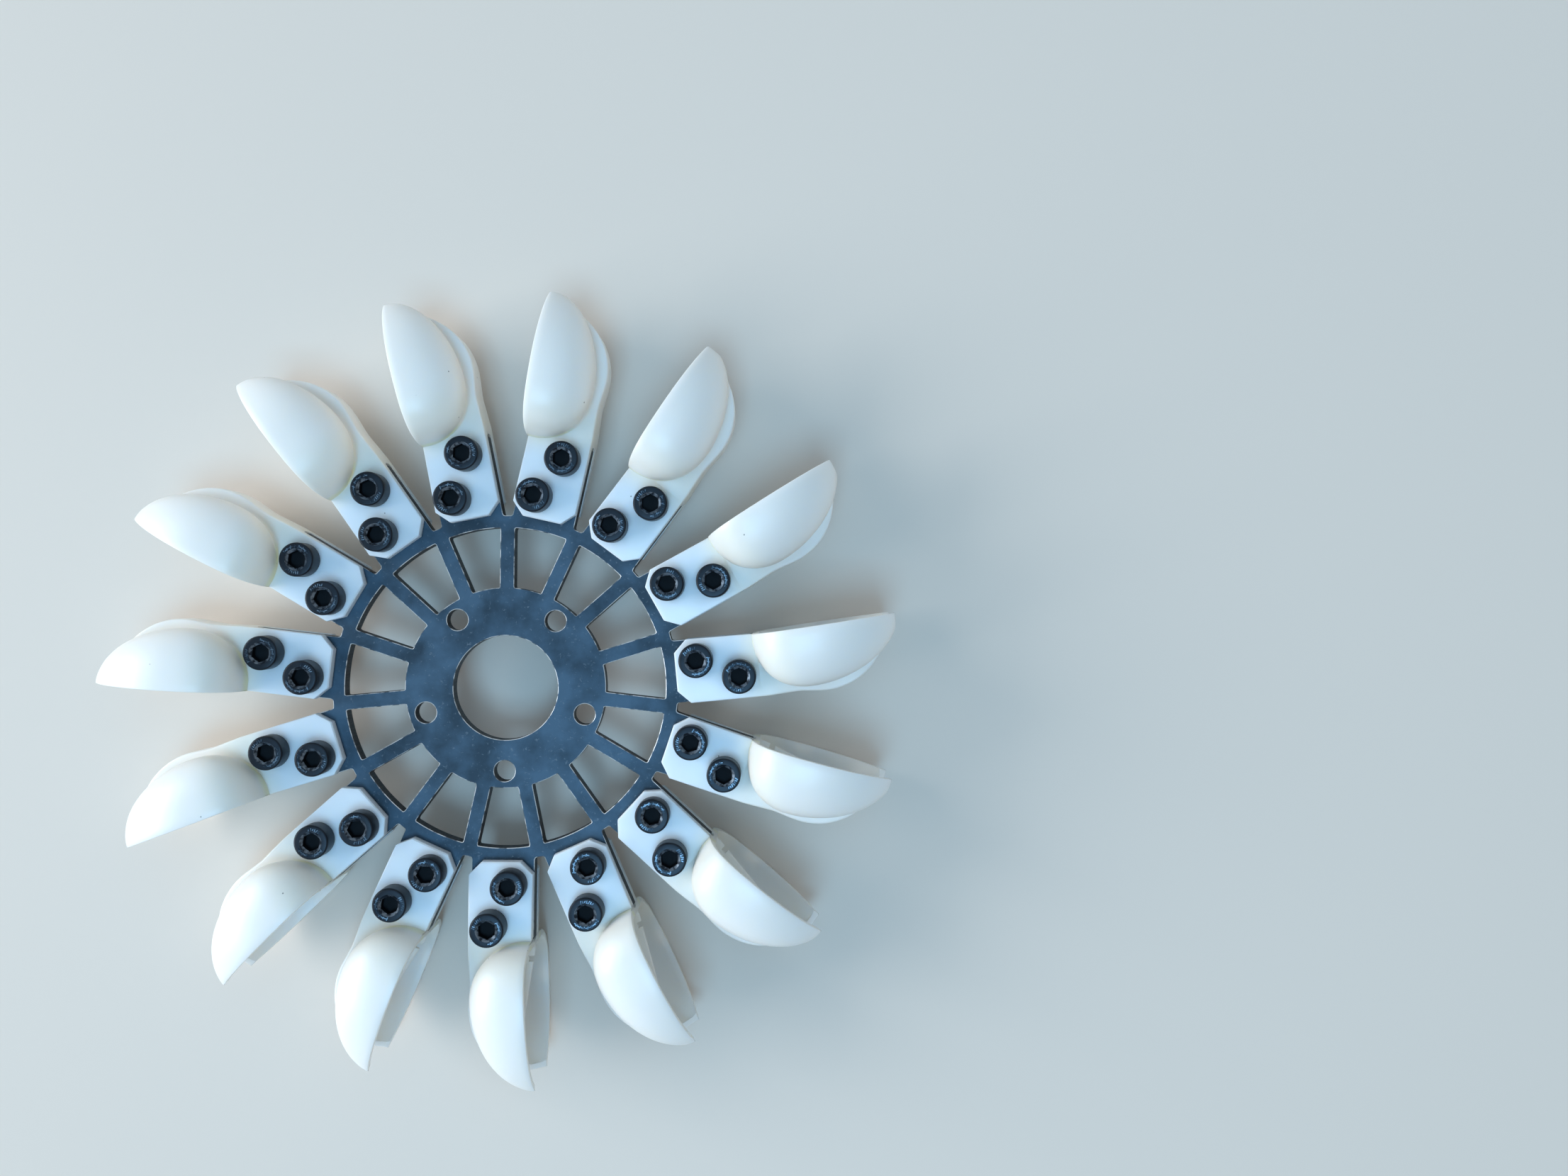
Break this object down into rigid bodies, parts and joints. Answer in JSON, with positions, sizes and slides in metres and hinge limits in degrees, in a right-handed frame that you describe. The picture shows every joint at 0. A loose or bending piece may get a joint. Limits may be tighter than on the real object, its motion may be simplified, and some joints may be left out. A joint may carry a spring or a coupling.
{
  "type": "small pelton turbine runner",
  "caption": "Bench-size Pelton runner: a flat spoked steel plate with moulded double-cup buckets held on its arms by cap screws.",
  "frame": {"origin": "on the wheel's axis, in the middle of the steel plate's thickness", "axes": "+Z along the wheel's axis, out of the face with the screw heads; -Y along the arm of bucket_01; seen from +Z the cups open counter-clockwise, so the jet turns the wheel clockwise"},
  "size_m": [0.1983, 0.1989, 0.0354],
  "materials": {
    "plate_steel": "satin",
    "bucket_nylon": "satin",
    "screw_steel": "satin"
  },
  "bodies": {
    "root": {"runner_plate": "plate_steel", "bucket_01": "bucket_nylon", "cap_screw_01_inner": "screw_steel", "cap_screw_01_outer": "screw_steel", "bucket_02": "bucket_nylon", "cap_screw_02_inner": "screw_steel", "cap_screw_02_outer": "screw_steel", "bucket_03": "bucket_nylon", "cap_screw_03_inner": "screw_steel", "cap_screw_03_outer": "screw_steel", "bucket_04": "bucket_nylon", "cap_screw_04_inner": "screw_steel", "cap_screw_04_outer": "screw_steel", "bucket_05": "bucket_nylon", "cap_screw_05_inner": "screw_steel", "cap_screw_05_outer": "screw_steel", "bucket_06": "bucket_nylon", "cap_screw_06_inner": "screw_steel", "cap_screw_06_outer": "screw_steel", "bucket_07": "bucket_nylon", "cap_screw_07_inner": "screw_steel", "cap_screw_07_outer": "screw_steel", "bucket_08": "bucket_nylon", "cap_screw_08_inner": "screw_steel", "cap_screw_08_outer": "screw_steel", "bucket_09": "bucket_nylon", "cap_screw_09_inner": "screw_steel", "cap_screw_09_outer": "screw_steel", "bucket_10": "bucket_nylon", "cap_screw_10_inner": "screw_steel", "cap_screw_10_outer": "screw_steel", "bucket_11": "bucket_nylon", "cap_screw_11_inner": "screw_steel", "cap_screw_11_outer": "screw_steel", "bucket_12": "bucket_nylon", "cap_screw_12_inner": "screw_steel", "cap_screw_12_outer": "screw_steel", "bucket_13": "bucket_nylon", "cap_screw_13_inner": "screw_steel", "cap_screw_13_outer": "screw_steel", "bucket_14": "bucket_nylon", "cap_screw_14_inner": "screw_steel", "cap_screw_14_outer": "screw_steel", "bucket_15": "bucket_nylon", "cap_screw_15_inner": "screw_steel", "cap_screw_15_outer": "screw_steel"}
  },
  "joints": []
}
